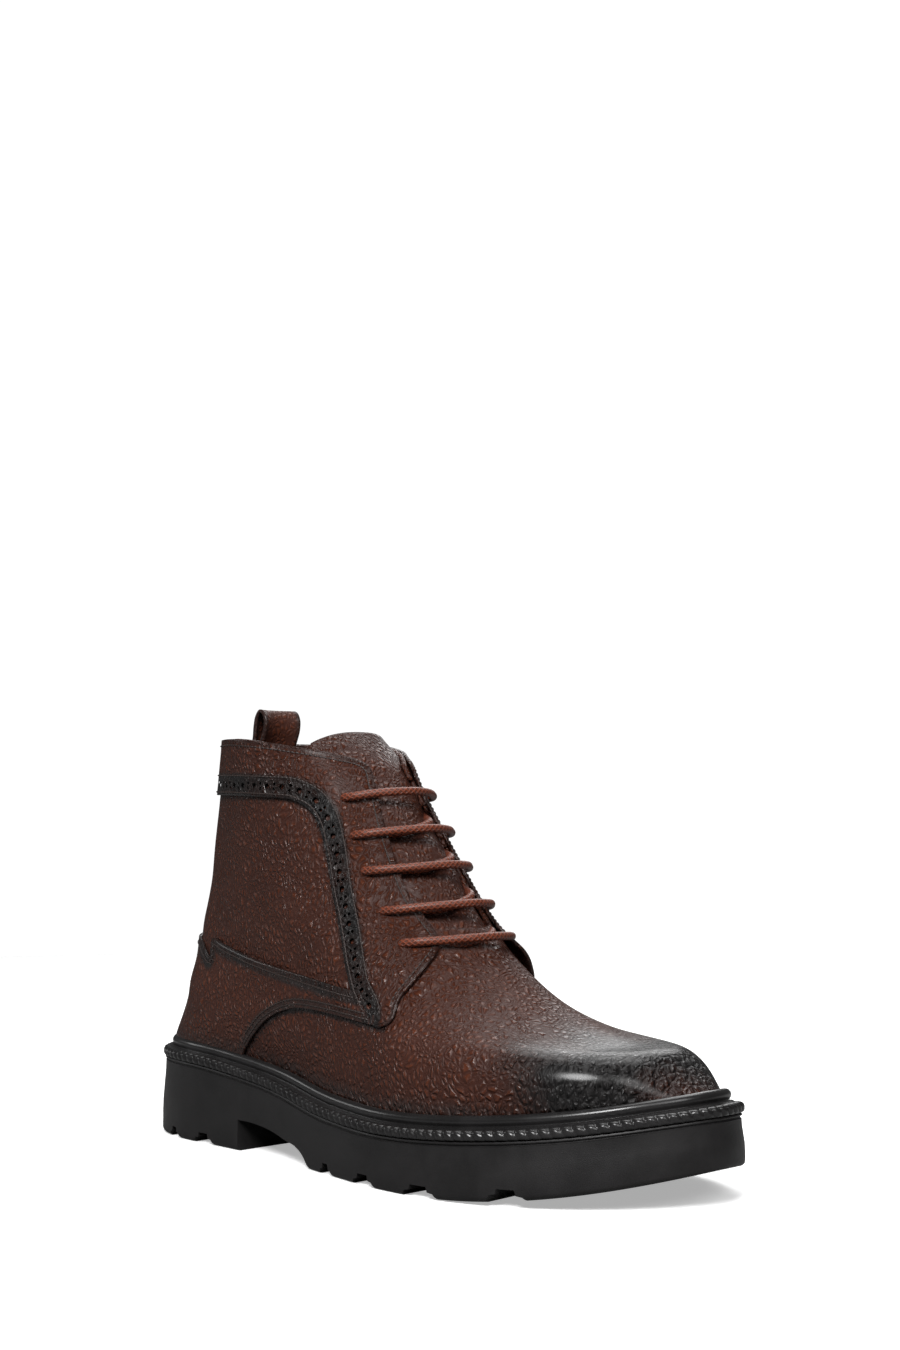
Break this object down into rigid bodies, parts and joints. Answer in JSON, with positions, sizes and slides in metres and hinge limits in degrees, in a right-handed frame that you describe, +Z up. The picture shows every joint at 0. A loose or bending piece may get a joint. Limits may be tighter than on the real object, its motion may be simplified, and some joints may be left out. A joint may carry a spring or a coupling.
{
  "type": "casual boot",
  "caption": "Lace-up leather ankle boot with open collar, punched collar facing, heel foxing, tongue, rear pull loop, welt with rim and bead, and a lugged rubber outsole.",
  "frame": {"origin": "on the floor, under the middle of the outsole's length and width", "axes": "+X towards the toe, +Y towards the inner side of the foot, +Z up"},
  "size_m": [0.305, 0.1131, 0.1931],
  "materials": {
    "sole_rubber": "satin",
    "welt_rubber": "satin",
    "insole_leather": "matt",
    "upper_leather": "satin, pebbled",
    "facing_leather": "satin, pebbled, burnished edge",
    "foxing_leather": "satin, pebbled",
    "tongue_leather": "satin, pebbled",
    "loop_leather": "satin",
    "lace_cord": "waxed round cord"
  },
  "bodies": {
    "root": {"outsole": "sole_rubber", "welt": "welt_rubber", "insole": "insole_leather", "upper": "upper_leather", "collar_facing": "facing_leather", "heel_foxing": "foxing_leather", "tongue": "tongue_leather", "pull_loop": "loop_leather", "laces": "lace_cord"}
  },
  "joints": []
}
